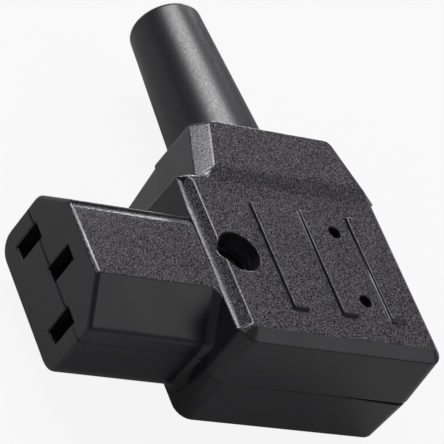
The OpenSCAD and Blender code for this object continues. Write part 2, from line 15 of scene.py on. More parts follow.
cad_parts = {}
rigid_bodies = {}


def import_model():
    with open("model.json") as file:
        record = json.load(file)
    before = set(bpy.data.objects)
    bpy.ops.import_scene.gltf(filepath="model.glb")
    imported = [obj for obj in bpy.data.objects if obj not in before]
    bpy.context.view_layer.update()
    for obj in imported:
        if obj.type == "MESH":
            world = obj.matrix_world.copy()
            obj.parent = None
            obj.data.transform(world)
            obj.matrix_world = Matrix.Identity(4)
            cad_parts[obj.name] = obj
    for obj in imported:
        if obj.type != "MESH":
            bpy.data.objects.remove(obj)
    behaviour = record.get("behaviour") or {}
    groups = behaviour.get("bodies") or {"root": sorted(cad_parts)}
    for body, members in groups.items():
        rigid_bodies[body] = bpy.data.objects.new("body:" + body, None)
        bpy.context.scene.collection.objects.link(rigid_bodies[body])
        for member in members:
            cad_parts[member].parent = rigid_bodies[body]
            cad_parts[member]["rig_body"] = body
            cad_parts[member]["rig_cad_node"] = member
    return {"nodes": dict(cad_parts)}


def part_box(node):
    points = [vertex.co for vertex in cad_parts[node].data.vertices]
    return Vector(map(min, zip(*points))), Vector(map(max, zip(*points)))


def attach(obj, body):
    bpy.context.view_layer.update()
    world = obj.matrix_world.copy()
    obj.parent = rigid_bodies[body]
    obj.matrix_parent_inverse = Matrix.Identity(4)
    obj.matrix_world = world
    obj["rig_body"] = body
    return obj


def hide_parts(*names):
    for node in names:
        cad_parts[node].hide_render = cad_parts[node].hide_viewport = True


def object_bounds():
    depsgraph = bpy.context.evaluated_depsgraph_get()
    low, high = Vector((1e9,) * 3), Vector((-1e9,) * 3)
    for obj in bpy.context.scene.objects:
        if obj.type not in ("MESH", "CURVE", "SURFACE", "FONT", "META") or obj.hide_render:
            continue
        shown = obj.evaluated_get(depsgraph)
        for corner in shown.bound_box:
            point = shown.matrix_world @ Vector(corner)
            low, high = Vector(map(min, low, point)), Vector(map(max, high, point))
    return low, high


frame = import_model()
nodes = frame["nodes"]
cad_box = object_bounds()
print("CAD box in mm:", [round((high - low) * 1000, 1) for low, high in zip(*cad_box)])

# %% [markdown]
# ## A frame to work in
# The connector was drawn from the tip of its nose: X runs into the body, Y out along the cord and Z out of
# the ribbed cover, with the two shells meeting at zero. Working in those axes and in millimetres keeps
# every size one that can be checked with calipers, so one function turns such a point into the model's own
# metres.

# %% The drawing's own axes
MM = 0.001
BODY_FRONT = 15.3
nose_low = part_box("front_shell")[0]
sleeve_low, sleeve_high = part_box("bend_relief_sleeve")
TIP = Vector((nose_low[0], nose_low[1] + BODY_FRONT * MM, nose_low[2]))


def at(x, y, z):
    """A point of the drawing, in millimetres, as a place in the model, in metres."""
    return TIP + Vector((x, y, z)) * MM


def drawn(point):
    """A place in the model, in metres, as a point of the drawing, in millimetres."""
    return (point - TIP) / MM


CORD_X = drawn((Vector(sleeve_low) + Vector(sleeve_high)) / 2).x
print("tip of the nose in mm:", [round(v / MM, 2) for v in TIP], "cord axis at x =", round(CORD_X, 2))

# %% [markdown]
# ## The camera
# A long lens held 390 mm away keeps the parallel edges of the shells nearly parallel. It looks down on the
# ribbed cover past the mating face, and it is rolled by 40 degrees so that the sleeve points up and to the
# left. A rotation is kept as a quaternion here because a rolled view has no simple pair of angles.

# %% Place the camera
camera_data = bpy.data.cameras.new("camera")
camera_data.sensor_width = 36
camera_data.lens = 248.6
camera_data.clip_end = 10
camera = bpy.data.objects.new("camera", camera_data)
camera.rotation_mode = "QUATERNION"
camera.location = at(-221.15, -221.78, 232.00)
camera.rotation_quaternion = Quaternion((0.880194, 0.342016, -0.324017, -0.057415))
bpy.context.scene.collection.objects.link(camera)
bpy.context.scene.camera = camera
print("camera at", [round(v, 3) for v in camera.location])

# %% [markdown]
# ## Two helpers for materials
# Colours are written as the hex values that a paint chart gives. Those are sRGB, and a shader works in
# linear light, so one function turns them. A shader is a small graph, and a second function adds a node
# with its settings and wires its inputs, so that each material below reads as a list of what goes into
# what.

# %% Colour and node helpers


def linear(code, alpha=1.0):
    """An sRGB hex colour as linear RGBA."""
    channels = [int(code[i:i + 2], 16) / 255 for i in (1, 3, 5)]
    return [c / 12.92 if c <= 0.04045 else ((c + 0.055) / 1.055) ** 2.4 for c in channels] + [alpha]


def add(tree, kind, settings=None, inputs=None):
    """Adds a node; inputs are values, or sockets of other nodes to be linked."""
    made = tree.nodes.new(kind)
    for name, value in (settings or {}).items():
        setattr(made, name, value)
    for name, value in (inputs or {}).items():
        if isinstance(value, bpy.types.NodeSocket):
            tree.links.new(value, made.inputs[name])
        else:
            made.inputs[name].default_value = value
    return made


def new_material(name):
    """An empty material with its shader and output, ready for a pattern."""
    made = bpy.data.materials.new(name)
    made.use_nodes = True
    tree = made.node_tree
    return made, tree, tree.nodes["Principled BSDF"]


print("mid grey #808080 is", round(linear("#808080")[0], 3), "in linear light")

# %% [markdown]
# ## Spark-textured nylon
# The covers, the top of the nose and the collar are glass-filled nylon from a mould whose steel was
# roughened by spark erosion. That leaves a skin of shallow craters with rounded rims, so the black looks
# charcoal, with pale grains where glass fibres and rubbed rims come to the surface. Smooth noise averages
# out at this size and gives an even grey. Irregular cells do not: each takes one value for its whole width,
# and that value sets both how pale the cell is and how rough, so that neighbours also differ in the lamp's
# reflection. Craters are height beneath.

# %% Material: black PA66, spark-eroded finish
# A coarse erosion grade has craters of 0.1 to 0.3 mm, and the relief is drawn at the coarse end. The
# grains on their rims are the ends of glass fibres and small flats, less than 0.1 mm apart.
CRATER = 0.30 * MM
GRAIN = 0.07 * MM
DARK_SHARE = 0.62
spark_nylon, tree, shader = new_material("black PA66 spark eroded")
place = add(tree, "ShaderNodeTexCoord")
craters = add(tree, "ShaderNodeTexNoise", {"noise_dimensions": "3D"},
              {"Vector": place.outputs["Object"], "Scale": 1 / CRATER, "Detail": 2.0, "Roughness": 0.65})
grains = add(tree, "ShaderNodeTexVoronoi", {"voronoi_dimensions": "3D", "feature": "F1"},
             {"Vector": place.outputs["Object"], "Scale": 1 / GRAIN})
glint = add(tree, "ShaderNodeSeparateColor", {}, {"Color": grains.outputs["Color"]})
rubbed = add(tree, "ShaderNodeValToRGB", {}, {"Fac": glint.outputs["Red"]})
rubbed.color_ramp.elements[0].color = linear("#0a090b")
rubbed.color_ramp.elements[0].position = DARK_SHARE
rubbed.color_ramp.elements[1].color = linear("#8f8c96")
rubbed.color_ramp.elements[1].position = 1.0
worn = add(tree, "ShaderNodeMapRange", {},
           {"Value": glint.outputs["Red"], "From Min": DARK_SHARE, "From Max": 1.0,
            "To Min": 0.26, "To Max": 0.54})
relief = add(tree, "ShaderNodeBump", {},
             {"Height": craters.outputs["Fac"], "Strength": 0.3, "Distance": 0.10 * MM})
tree.links.new(rubbed.outputs["Color"], shader.inputs["Base Color"])
tree.links.new(worn.outputs["Result"], shader.inputs["Roughness"])
tree.links.new(relief.outputs["Normal"], shader.inputs["Normal"])
shader.inputs["IOR"].default_value = 1.53
print(spark_nylon.name, "craters", round(CRATER / MM, 2), "mm, grains", round(GRAIN / MM, 2), "mm")

# %% [markdown]
# ## Satin nylon
# The side walls and the mating face come from the same shot, but their steel was only stoned, so that they
# slide out of the mould. The skin is the same black with a low sheen and no grain to speak of. A bump of a
# few micrometres breaks the reflection up as real stoning does, and a slow change of roughness keeps a
# large wall from looking like glass.

# %% Material: black PA66, satin finish
# stoning marks are a quarter of a millimetre apart, and the melt flow shows in patches of about 6 mm
STONING = 0.25 * MM
FLOW = 6 * MM
satin_nylon, tree, shader = new_material("black PA66 satin")
place = add(tree, "ShaderNodeTexCoord")
stoning = add(tree, "ShaderNodeTexNoise", {"noise_dimensions": "3D"},
              {"Vector": place.outputs["Object"], "Scale": 1 / STONING, "Detail": 2.0, "Roughness": 0.5})
flow = add(tree, "ShaderNodeTexNoise", {"noise_dimensions": "3D"},
           {"Vector": place.outputs["Object"], "Scale": 1 / FLOW, "Detail": 2.0, "Roughness": 0.5})
sheen = add(tree, "ShaderNodeMapRange", {},
            {"Value": flow.outputs["Fac"], "From Min": 0.3, "From Max": 0.7, "To Min": 0.26, "To Max": 0.34})
relief = add(tree, "ShaderNodeBump", {},
             {"Height": stoning.outputs["Fac"], "Strength": 0.12, "Distance": 0.02 * MM})
tree.links.new(sheen.outputs["Result"], shader.inputs["Roughness"])
tree.links.new(relief.outputs["Normal"], shader.inputs["Normal"])
shader.inputs["Base Color"].default_value = linear("#27262a")
shader.inputs["IOR"].default_value = 1.53
print(satin_nylon.name, "stoned every", round(STONING / MM, 2), "mm, flow patches of", round(FLOW / MM), "mm")

# %% [markdown]
# ## Soft PVC
# The sleeve is plasticised PVC, so that it bends with the cord. Plasticiser comes to the surface as a faint
# cloudy bloom, and fine dust sticks to it. The highlight down the sleeve is therefore broad with a soft
# edge, and grainy. The bloom is a noise and the dust is cells again; multiplied, they set the grey and the
# roughness together.

# %% Material: soft black PVC
# dust grains are 0.12 mm apart, and the bloom changes over half a millimetre
DUST = 0.12 * MM
BLOOM = 0.5 * MM
soft_pvc, tree, shader = new_material("soft black PVC")
place = add(tree, "ShaderNodeTexCoord")
dust = add(tree, "ShaderNodeTexVoronoi", {"voronoi_dimensions": "3D", "feature": "F1"},
           {"Vector": place.outputs["Object"], "Scale": 1 / DUST})
fleck = add(tree, "ShaderNodeSeparateColor", {}, {"Color": dust.outputs["Color"]})
bloom = add(tree, "ShaderNodeTexNoise", {"noise_dimensions": "3D"},
            {"Vector": place.outputs["Object"], "Scale": 1 / BLOOM, "Detail": 3.0, "Roughness": 0.7})
both = add(tree, "ShaderNodeMath", {"operation": "MULTIPLY"},
           {0: fleck.outputs["Red"], 1: bloom.outputs["Fac"]})
cloud = add(tree, "ShaderNodeMapRange", {},
            {"Value": both.outputs["Value"], "From Min": 0.0, "From Max": 0.6,
             "To Min": 0.46, "To Max": 0.30})
greys = add(tree, "ShaderNodeValToRGB", {}, {"Fac": both.outputs["Value"]})
greys.color_ramp.elements[0].color = linear("#0b0a0d")
greys.color_ramp.elements[0].position = 0.1
greys.color_ramp.elements[1].color = linear("#2c2a30")
greys.color_ramp.elements[1].position = 0.6
relief = add(tree, "ShaderNodeBump", {},
             {"Height": bloom.outputs["Fac"], "Strength": 0.25, "Distance": 0.03 * MM})
tree.links.new(cloud.outputs["Result"], shader.inputs["Roughness"])
tree.links.new(greys.outputs["Color"], shader.inputs["Base Color"])
tree.links.new(relief.outputs["Normal"], shader.inputs["Normal"])
shader.inputs["IOR"].default_value = 1.54
print(soft_pvc.name, "dust", round(DUST / MM, 2), "mm, bloom", round(BLOOM / MM, 2), "mm")

# %% [markdown]
# ## The metals inside
# The contacts are cut and folded from rolled brass strip, so they carry fine lines along the way they were
# rolled. The terminal frames are brass bar, a little redder and duller. The screws and the nut are steel
# with a thin bright zinc coat, which is bluish and slightly mottled. Metals keep the usual index of
# refraction; it is their colour, their roughness and the direction of the marks that tell them apart.

# %% Materials: brass strip, brass bar and zinc-plated steel


def metal(name, low, high, roughness, grain, stretch):
    """A metal whose colour varies from low to high, with marks of a size in mm.

    Coordinates are multiplied by stretch, so a small value draws the marks out along that axis.
    """
    made, tree, shader = new_material(name)
    place = add(tree, "ShaderNodeTexCoord")
    drawn_out = add(tree, "ShaderNodeMapping", {}, {"Vector": place.outputs["Object"], "Scale": stretch})
    marks = add(tree, "ShaderNodeTexNoise", {"noise_dimensions": "3D"},
                {"Vector": drawn_out.outputs["Vector"], "Scale": 1 / (grain * MM),
                 "Detail": 3.0, "Roughness": 0.6})
    tint = add(tree, "ShaderNodeValToRGB", {}, {"Fac": marks.outputs["Fac"]})
    tint.color_ramp.elements[0].color = linear(low)
    tint.color_ramp.elements[0].position = 0.3
    tint.color_ramp.elements[1].color = linear(high)
    tint.color_ramp.elements[1].position = 0.7
    worn = add(tree, "ShaderNodeMapRange", {},
               {"Value": marks.outputs["Fac"], "From Min": 0.3, "From Max": 0.7,
                "To Min": roughness - 0.06, "To Max": roughness + 0.08})
    relief = add(tree, "ShaderNodeBump", {},
                 {"Height": marks.outputs["Fac"], "Strength": 0.15, "Distance": 0.01 * MM})
    tree.links.new(tint.outputs["Color"], shader.inputs["Base Color"])
    tree.links.new(worn.outputs["Result"], shader.inputs["Roughness"])
    tree.links.new(relief.outputs["Normal"], shader.inputs["Normal"])
    shader.inputs["Metallic"].default_value = 1.0
    print(name, "marks", grain, "mm")
    return made


# rolled strip: lines 0.05 mm apart and twenty times as long, along the contacts
brass_strip = metal("rolled brass strip", "#c9a55c", "#e3c681", 0.28, 0.05, (0.05, 1, 1))
# sawn and tumbled bar: marks of 0.3 mm with no direction
brass_bar = metal("tumbled brass bar", "#b5904b", "#d3b06b", 0.38, 0.3, (1, 1, 1))
# electroplated zinc: mottled over 0.4 mm
zinc_steel = metal("zinc plated steel", "#a9abb0", "#cfd1d6", 0.25, 0.4, (1, 1, 1))

# %% [markdown]
# ## The grip
# The bar that holds the cord down is the same family of nylon without glass, a dark grey that was never
# meant to be seen. Its colour is broken by the swirl that the melt leaves where it fills a small mould.

# %% Material: dark grey nylon of the grip
# the swirl changes over two or three millimetres
SWIRL = 2.5 * MM
grip_nylon, tree, shader = new_material("dark grey PA6 moulding")
place = add(tree, "ShaderNodeTexCoord")
swirl = add(tree, "ShaderNodeTexNoise", {"noise_dimensions": "3D"},
            {"Vector": place.outputs["Object"], "Scale": 1 / SWIRL, "Detail": 3.0, "Distortion": 1.5})
greys = add(tree, "ShaderNodeValToRGB", {}, {"Fac": swirl.outputs["Fac"]})
greys.color_ramp.elements[0].color = linear("#2f2f33")
greys.color_ramp.elements[1].color = linear("#3f3f44")
relief = add(tree, "ShaderNodeBump", {},
             {"Height": swirl.outputs["Fac"], "Strength": 0.1, "Distance": 0.05 * MM})
tree.links.new(greys.outputs["Color"], shader.inputs["Base Color"])
tree.links.new(relief.outputs["Normal"], shader.inputs["Normal"])
shader.inputs["Roughness"].default_value = 0.42
shader.inputs["IOR"].default_value = 1.53
print(grip_nylon.name, "swirl", round(SWIRL / MM, 1), "mm")

# %% [markdown]
# ## Dressing the measured nodes
# The contacts, cages, plates, screws, nut and grip bar have the right shape already, so their objects stay
# as they are and only their material slots change.

# %% Give each measured node its finish
FINISHES = {
    "contact": brass_strip,
    "clamp_plate": brass_strip,
    "terminal_cage": brass_bar,
    "screw": zinc_steel,
    "cover_nut": zinc_steel,
    "cord_grip_bar": grip_nylon,
    "shell": satin_nylon,
    "sleeve": soft_pvc,
}
for name, node in nodes.items():
    finish = next(material for part, material in FINISHES.items() if part in name)
    for slot in node.material_slots:
        slot.material = finish
    print(f"{name:24s} {finish.name}")

# %% [markdown]
# ## Skins for the two mouldings
# A moulding has no knife edges: polished steel wears, plastic shrinks, and every outer corner ends with a
# radius of a tenth or two of a millimetre. Those radii are what catch the light, so they matter more than
# any colour. The measured shells have sharp corners. Bevelling by hand would mean finding some hundreds of
# edges, so each shell is copied and welded, and a rule picks the edges: sharp, convex, and looking straight
# out of the closed housing.

# %% Helpers for copies


def only(thing):
    """Leaves one object selected and active, out of edit mode."""
    if bpy.context.object and bpy.context.object.mode != "OBJECT":
        bpy.ops.object.mode_set(mode="OBJECT")
    bpy.ops.object.select_all(action="DESELECT")
    thing.select_set(True)
    bpy.context.view_layer.objects.active = thing


def skin_of(name, weld):
    """A copy of a measured moulding, welded, with flat faces joined up."""
    only(nodes[name])
    bpy.ops.object.duplicate()
    skin = bpy.context.object
    skin.name = name + "_skin"
    skin.parent = None
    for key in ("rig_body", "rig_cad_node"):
        if key in skin:
            del skin[key]
    only(skin)
    bpy.ops.object.mode_set(mode="EDIT")
    bpy.ops.mesh.select_all(action="SELECT")
    bpy.ops.mesh.remove_doubles(threshold=weld)
    bpy.ops.mesh.dissolve_limited(angle_limit=math.radians(1))
    bpy.ops.object.mode_set(mode="OBJECT")
    print(skin.name, len(skin.data.vertices), "corners,", len(skin.data.polygons), "faces")
    return skin


def soften(skin, wanted, width, steps):
    """Rounds the edges for which wanted(edge) holds, to a width in mm."""
    only(skin)
    bpy.ops.object.mode_set(mode="EDIT")
    bpy.ops.mesh.select_mode(type="EDGE")
    bpy.ops.mesh.select_all(action="DESELECT")
    shape = bmesh.from_edit_mesh(skin.data)
    chosen = [edge for edge in shape.edges if wanted(edge)]
    for edge in chosen:
        edge.select_set(True)
    bmesh.update_edit_mesh(skin.data)
    bpy.ops.mesh.bevel(offset=width * MM, segments=steps, affect="EDGES", clamp_overlap=False)
    bpy.ops.object.mode_set(mode="OBJECT")
    print(skin.name, "softened", len(chosen), "edges by", width, "mm")


# %% [markdown]
# ## Where the cover and the nose are
# The rules below find edges and faces by their place on the drawing, so the places are written down once.
# Heights are above the parting plane: the cover's flat, the flat of the nose and the foot of the slope
# between them. Lengths along the cord are measured from the middle of the nose.

# %% Places on the drawing
COVER_Z = 9.35
NOSE_TOP = 7.7
# the far edge of the nose's flat, and the stretch over which the nose runs into the slope
NOSE_EDGE = 5.75
NOSE_ENDS = (-6.0, 6.8)
# the foot of the slope, and how far it is brought down beside the nose
FOOT_X = 19.45
FOOT_Z = 8.18
FOOT_DROP = 0.44
# the field of the ribs
RIBS_X = (25, 51)
RIBS_Y = (-12, 11)
# on the open side, the rim lies beyond RIM_Y, and the foot of the slope ends before OPEN_END
RIM_Y = -11
OPEN_END = -13
# on the cord's side, the collar and the step up to it lie beyond this
COLLAR_FROM = 10
# a corner this near to a place, in mm, counts as being there
NEAR = 0.05
print("cover", COVER_Z, "mm, nose", NOSE_TOP, "mm and slope's foot", FOOT_Z, "mm above the parting plane")

# %% [markdown]
# ## Which edges look out
# Half of the sharp edges are inside the housing and stay sharp. An edge is on the outside when a line from
# it, along the mean of its two faces, leaves the closed housing without meeting a wall. The walls of both
# shells are put in one search tree, so that a line can be followed quickly.

# %% Rules for outer edges
SHARP = math.radians(25)
points, faces = [], []
for name in ("front_shell", "rear_shell"):
    mesh = nodes[name].data
    faces += [[len(points) + index for index in polygon.vertices] for polygon in mesh.polygons]
    points += [vertex.co.copy() for vertex in mesh.vertices]
housing = BVHTree.FromPolygons(points, faces)


def ends(edge):
    """The two ends of an edge on the drawing."""
    return [drawn(vertex.co) for vertex in edge.verts]


def sharp(edge):
    """Whether two faces turn by more than SHARP where they meet in an edge."""
    return len(edge.link_faces) == 2 and edge.calc_length() > NEAR * MM \
        and edge.calc_face_angle(0) > SHARP


def looks_out(edge):
    """Whether nothing of the housing stands in front of an edge."""
    middle = (edge.verts[0].co + edge.verts[1].co) / 2
    look = (edge.link_faces[0].normal + edge.link_faces[1].normal).normalized()
    return housing.ray_cast(middle + look * NEAR * MM, look)[0] is None


def outside_corner(edge):
    """Whether an edge is a sharp corner on the outside of the housing."""
    return sharp(edge) and edge.is_convex and looks_out(edge)


print(len(faces), "measured faces to look through")

# %% [markdown]
# ## Edges with a radius of their own
# Not every corner of a moulding is alike. The seam is kept tight, the ribs are small, and a mould maker
# blends the open side of the cover and the hollow under the collar with a larger cutter. The foot of the
# slope beside the nose is left alone, because the nose runs into it. Each rule looks at both ends of an
# edge.

# %% Rules for single places
# the seam's edges lie this near to the parting plane, in mm
PARTING = 0.3
# edges along the cover are longer than this, in mm, and may be blunter than other corners
COVER_RUN = 8
BLUNT = math.radians(15)


def on_parting(edge):
    """Whether an edge lies where the two shells meet."""
    return all(abs(end.z) < PARTING for end in ends(edge))


def on_rib(edge):
    """Whether an edge belongs to a grip rib of the cover."""
    return all(end.z > COVER_Z - NEAR and RIBS_X[0] < end.x < RIBS_X[1] and RIBS_Y[0] < end.y < RIBS_Y[1]
               for end in ends(edge))


def beside_nose(edge):
    """Whether an edge is the foot of the slope where the nose runs into it."""
    return all(NOSE_TOP - 0.1 < end.z < FOOT_Z - FOOT_DROP + NEAR and end.x > FOOT_X - 0.15
               and NOSE_ENDS[0] - 0.1 < end.y < NOSE_ENDS[1] + 0.1 for end in ends(edge))


def parting_edge(edge):
    """Whether an edge is part of the seam."""
    return outside_corner(edge) and on_parting(edge)


def face_seam(edge):
    """Whether an edge is part of the seam across the mating face."""
    return parting_edge(edge) and all(end.x < 0.1 for end in ends(edge))


def rib_edge(edge):
    """Whether an edge is a corner of a rib."""
    return outside_corner(edge) and on_rib(edge)


def outer_edge(edge):
    """Whether an edge is any other corner on the outside."""
    return outside_corner(edge) and not (on_parting(edge) or beside_nose(edge) or on_rib(edge))


def along_cover(edge):
    """Whether an edge runs the length of the body at the level of the cover."""
    a, b = ends(edge)
    return len(edge.link_faces) == 2 and max(abs(a.z - COVER_Z), abs(b.z - COVER_Z)) < NEAR \
        and abs(a.x - b.x) > COVER_RUN and edge.calc_face_angle(0) > BLUNT


def near_rim(edge):
    """Whether an edge is the corner between the cover and its slope on the open side."""
    return along_cover(edge) and edge.is_convex and ends(edge)[0].y < RIM_Y


def collar_foot(edge):
    """Whether an edge is the hollow between the cover and the step up to the collar."""
    return along_cover(edge) and not edge.is_convex and ends(edge)[0].y > COLLAR_FROM


# width in mm and number of steps for each kind of edge, in the order in which they are rounded
RADII = ((near_rim, 0.5, 4), (collar_foot, 0.45, 4), (face_seam, 0.2, 1), (parting_edge, 0.12, 2),
         (outer_edge, 0.2, 2), (rib_edge, 0.13, 2))
print(len(RADII), "kinds of edge are rounded")

# %% [markdown]
# ## The step along the nose side of the cover
# The measured cover rises from the wall in one plain slope. On the real moulding the flat of the nose first
# runs up in a shallow flank and then the step turns steep, which is why a pale band lies along it next to a
# dark one. The slope is cut along its length and its upper part is stretched downwards from the cover's
# edge. Two cuts across it mark where the nose begins and ends. From the open side to the nose's far end, the
# foot of the shallow flank is brought down nearly to the level of the nose.

# %% Break the slope into a flank and a step
# the height of the cut, and how much the part above it is stretched
FLANK_CUT = 8.772
STRETCH = 2.02
# faces of the slope have their middle above this
SLOPE_BOTTOM = 8.1
# the slope's far corner lies beyond this place and above this height
FAR_END = 12
FAR_END_Z = 8.9


def slope_faces(shape):
    """The faces of the slope that looks towards the nose."""
    return [face for face in shape.faces if face.normal.x < -0.3 and face.normal.z > 0.4
            and abs(face.normal.y) < 0.05 and drawn(face.calc_center_median()).z > SLOPE_BOTTOM
            and face.calc_area() > (0.3 * MM) ** 2]


def pick(kind, wanted):
    """Selects the corners or faces that wanted(shape) lists, in edit mode."""
    bpy.ops.mesh.select_mode(type=kind)
    bpy.ops.mesh.select_all(action="DESELECT")
    mesh = bpy.context.object.data
    shape = bmesh.from_edit_mesh(mesh)
    chosen = wanted(shape)
    for item in chosen:
        item.select_set(True)
    bmesh.update_edit_mesh(mesh)
    return len(chosen)


def flank_faces(shape):
    """The part of the slope below the cut."""
    return [face for face in slope_faces(shape) if drawn(face.calc_center_median()).z < FLANK_CUT]


def step_corners(shape):
    """The corners of the slope from the cut upwards, except the one at its far end, beside the collar."""
    corners = {vertex for face in slope_faces(shape) for vertex in face.verts}
    return [vertex for vertex in corners if FLANK_CUT - 0.01 < drawn(vertex.co).z < COVER_Z - 0.01
            and (drawn(vertex.co).y < FAR_END or drawn(vertex.co).z < FAR_END_Z)]


def foot_corners(shape):
    """The corners at the foot of the slope, from the open side to the far end of the nose."""
    return [vertex for vertex in shape.verts if abs(drawn(vertex.co).z - FOOT_Z) < NEAR
            and abs(drawn(vertex.co).x - FOOT_X) < NEAR
            and OPEN_END < drawn(vertex.co).y < NOSE_ENDS[1] + 0.1]


def break_slope(skin):
    """Cuts the slope beside the nose into a shallow flank and a steep step."""
    only(skin)
    bpy.ops.object.mode_set(mode="EDIT")
    pick("FACE", slope_faces)
    bpy.ops.mesh.bisect(plane_co=at(0, 0, FLANK_CUT), plane_no=(0, 0, 1))
    for y in NOSE_ENDS:
        pick("FACE", flank_faces)
        bpy.ops.mesh.bisect(plane_co=at(0, y, 0), plane_no=(0, 1, 0))
    upper = pick("VERT", step_corners)
    bpy.ops.transform.resize(value=(1, 1, STRETCH), center_override=at(0, 0, COVER_Z))
    foot = pick("VERT", foot_corners)
    bpy.ops.transform.translate(value=(0, 0, -FOOT_DROP * MM))
    bpy.ops.object.mode_set(mode="OBJECT")
    print("slope broken:", upper, "corners stretched,", foot, "brought down")


print("the flank ends", round(COVER_Z - (COVER_Z - FLANK_CUT) * STRETCH, 2), "mm above the parting plane")

# %% [markdown]
# ## The far margin of the nose
# The mould's flat for the top of the nose was polished by hand, and polishing rounds a flat off where it
# ends. The last millimetre on the cord's side leans over by some degrees, and it catches the light from
# behind as a pale line. A wide bevel would run out into a spike at the tip, so the margin is marked off by
# one cut and only its outer edge is lowered. The cut is marked sharp, so that the shading does not smear
# across it.

# %% Tip the margin
# the width of the margin in mm, and how far it leans over
ROLL = 1.1
ROLL_TIP = math.radians(15)


def nose_flat(shape):
    """The large flat on top of the nose."""
    return [face for face in shape.faces if face.normal.z > 0.99 and face.calc_area() > (10 * MM) ** 2
            and abs(drawn(face.calc_center_median()).z - NOSE_TOP) < NEAR]


def nose_edge(shape):
    """The corners of that flat on the cord's side."""
    return [vertex for vertex in shape.verts if abs(drawn(vertex.co).z - NOSE_TOP) < NEAR
            and abs(drawn(vertex.co).y - NOSE_EDGE) < NEAR]


def roll_off(skin):
    """Tips the far margin of the nose's flat towards the cord."""
    only(skin)
    bpy.ops.object.mode_set(mode="EDIT")
    pick("FACE", nose_flat)
    bpy.ops.mesh.bisect(plane_co=at(0, NOSE_EDGE - ROLL, 0), plane_no=(0, 1, 0))
    bpy.ops.mesh.mark_sharp()
    lowered = pick("VERT", nose_edge)
    bpy.ops.transform.translate(value=(0, 0, -ROLL * math.tan(ROLL_TIP) * MM))
    bpy.ops.object.mode_set(mode="OBJECT")
    print("far margin of the nose tipped at", lowered, "corners")


print("the margin falls by", round(ROLL * math.tan(ROLL_TIP), 2), "mm over", ROLL, "mm")

# %% [markdown]
# ## Rounding, shading and the two finishes
# The two shaped places come first, then the radii. After the bevels, weighted normals keep the large faces
# flat and let only the narrow new strips turn from one to the next. Last, the faces that were spark eroded
# in the mould get the grained finish: the covers, the flats of the nose and the slopes round them, and at
# the collar its bevel and the step up to it, but not the walls, nor the slope and the keyed corner on the
# open side.

# %% Make the skins
# least rise of a face, and how far it may turn to the open side and to the cord's side, to be grained
COVER_LIMITS = (0.5, -0.3, 0.35)
COLLAR_LIMITS = (0.35, -1, 0.35)
# grained faces lie at least this far above or below the parting plane, in mm
COVER_FROM = 7.0
# corners this near to each other, in mm, are welded
WELDS = {"front_shell": 0.03, "rear_shell": 0.02}
for name, weld in WELDS.items():
    skin = skin_of(name, weld * MM)
    if name == "front_shell":
        break_slope(skin)
        roll_off(skin)
    for rule, width, steps in RADII:
        soften(skin, rule, width, steps)
    only(skin)
    bpy.ops.object.shade_smooth_by_angle(angle=math.radians(30))
    bpy.ops.object.modifier_add(type="WEIGHTED_NORMAL")
    skin.modifiers[-1].keep_sharp = True
    bpy.ops.object.modifier_apply(modifier=skin.modifiers[-1].name)
    skin.data.materials.clear()
    skin.data.materials.append(satin_nylon)
    skin.data.materials.append(spark_nylon)
    grained = 0
    for polygon in skin.data.polygons:
        place, turn = drawn(polygon.center), polygon.normal
        rise, to_open, to_cord = COLLAR_LIMITS if place.y > COLLAR_FROM else COVER_LIMITS
        grainy = abs(place.z) > COVER_FROM and abs(turn.z) > rise and to_open < turn.y < to_cord
        polygon.material_index = int(grainy)
        grained += grainy
    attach(skin, "root")
    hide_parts(name)
    print(skin.name, len(skin.data.polygons), "faces,", grained, "of them grained")

# %% [markdown]
# ## Turned shapes
# The sleeve and the cover screw are both solids of revolution. Spinning a drawn profile would do, but a
# lathe worker thinks in diameters along an axis, and so does this helper: it starts from one ring of a
# circle primitive and extrudes it from station to station, scaling the ring to each new radius.

# %% A helper that turns a shape from radii


def turned(name, axis, foot, stations, sides):
    """Extrudes a ring from a foot along Y or Z through stations of (position, radius), in millimetres."""
    direction = {"Y": Vector((0, 1, 0)), "Z": Vector((0, 0, 1))}[axis]
    foot = Vector(foot)
    turn = (math.radians(90), 0, 0) if axis == "Y" else (0, 0, 0)
    position, radius = stations[0]
    bpy.ops.object.select_all(action="DESELECT")
    bpy.ops.mesh.primitive_circle_add(vertices=sides, radius=radius * MM, rotation=turn,
                                      location=at(*(foot + direction * position)))
    shape = bpy.context.object
    shape.name = name
    bpy.ops.object.transform_apply(location=True, rotation=True, scale=True)
    bpy.ops.object.mode_set(mode="EDIT")
    bpy.ops.mesh.select_mode(type="EDGE")
    bpy.ops.mesh.select_all(action="SELECT")
    for next_position, next_radius in stations[1:]:
        step = direction * (next_position - position) * MM
        bpy.ops.mesh.extrude_edges_move(TRANSFORM_OT_translate={"value": step})
        grow = next_radius / radius
        bpy.ops.transform.resize(value=[1 if part else grow for part in direction],
                                 center_override=at(*(foot + direction * next_position)))
        position, radius = next_position, next_radius
    bpy.ops.object.mode_set(mode="OBJECT")
    return shape


def close_up(shape, how):
    """Closes the two open rings of a turned shape: filled flat, or bridged to each other."""
    only(shape)
    bpy.ops.object.mode_set(mode="EDIT")
    bpy.ops.mesh.select_mode(type="EDGE")
    bpy.ops.mesh.select_all(action="DESELECT")
    bpy.ops.mesh.select_non_manifold()
    if how == "flat":
        bpy.ops.mesh.fill_holes(sides=0)
    else:
        bpy.ops.mesh.bridge_edge_loops()
    bpy.ops.mesh.select_all(action="SELECT")
    bpy.ops.mesh.normals_make_consistent(inside=False)
    bpy.ops.object.mode_set(mode="OBJECT")


print("turned shapes are ready to be cut")

# %% [markdown]
# ## The bend-relief sleeve
# The sleeve is a tube that tapers away from the collar and ends in a soft round lip, so that the cord never
# bends over an edge. Its flange is caught inside the collar, and its neck fills the hole there. All of it
# is one turned tube: along the outside from the flange to the lip, and back along the bore.

